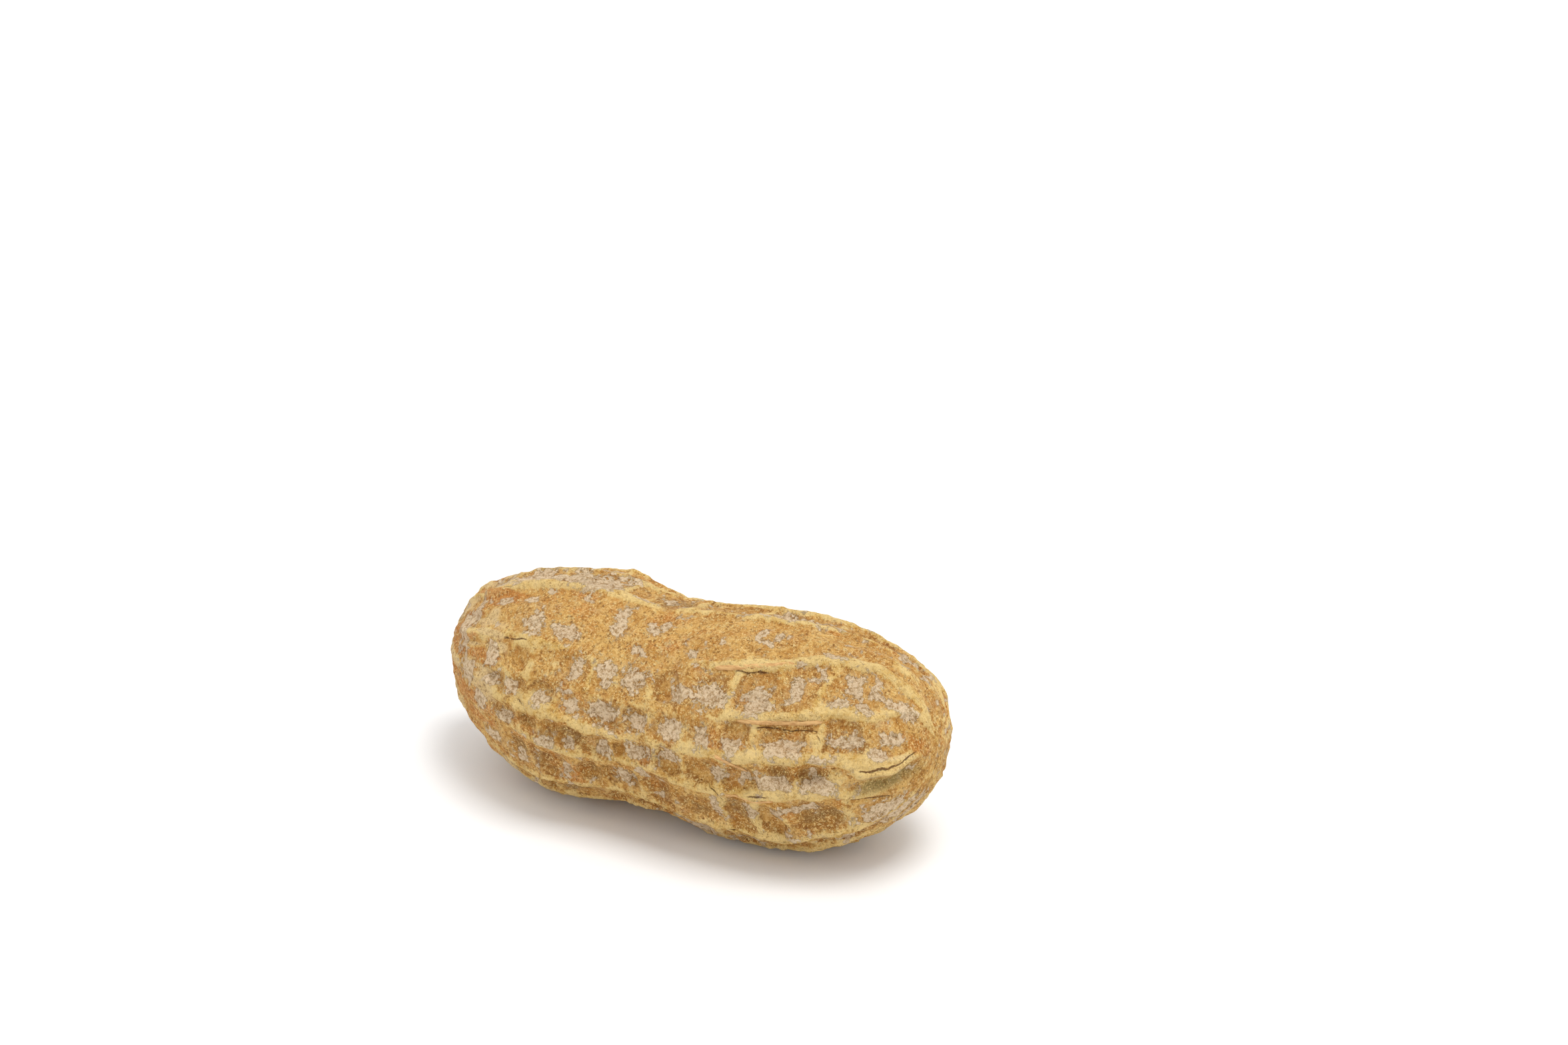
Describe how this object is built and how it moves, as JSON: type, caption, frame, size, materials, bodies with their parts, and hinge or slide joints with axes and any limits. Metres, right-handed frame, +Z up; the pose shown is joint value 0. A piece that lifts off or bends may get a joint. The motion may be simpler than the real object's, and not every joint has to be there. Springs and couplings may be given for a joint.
{
  "type": "peanut in its shell",
  "caption": "Whole peanut in its shell: a lightly bent pod with a rounded lobe at each end, a shallow waist and a net of raised veins and pits, lying on its side.",
  "frame": {"origin": "on the surface that the pod lies on, under the middle of its bounding box", "axes": "+X along the pod from the stem end to the beak, +Z up from the surface it lies on, +Y towards the hollow side of its bend"},
  "size_m": [0.0414, 0.0174, 0.0168],
  "materials": {
    "pod_shell": "dry, matt, papery shell: ochre with straw-yellow veins, brown pits and pale grey-pink flakes"
  },
  "bodies": {
    "root": {"peanut_pod": "pod_shell"}
  },
  "joints": []
}
